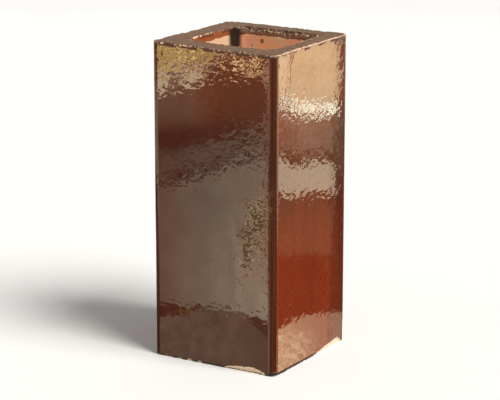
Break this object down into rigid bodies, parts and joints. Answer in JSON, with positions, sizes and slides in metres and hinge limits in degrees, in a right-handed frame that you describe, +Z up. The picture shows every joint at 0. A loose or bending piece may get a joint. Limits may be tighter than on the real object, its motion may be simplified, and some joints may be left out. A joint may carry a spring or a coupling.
{
  "type": "square flue pipe",
  "caption": "Upright square flue pipe of salt-glazed clay, open at both ends, with rounded corners, a bare cut rim and chipped ends.",
  "frame": {"origin": "middle of the underside, where the pipe stands", "axes": "+Z up along the flue; +X is the wall with the narrow side of the bore towards it, -Y the front wall with the long chip at its foot"},
  "size_m": [0.205, 0.206, 0.466],
  "materials": {
    "glazed_clay": "glossy red-brown salt glaze, bare grey-brown clay on the cut ends and cream clay in fresh chips"
  },
  "bodies": {
    "root": {"flue_pipe": "glazed_clay"}
  },
  "joints": []
}
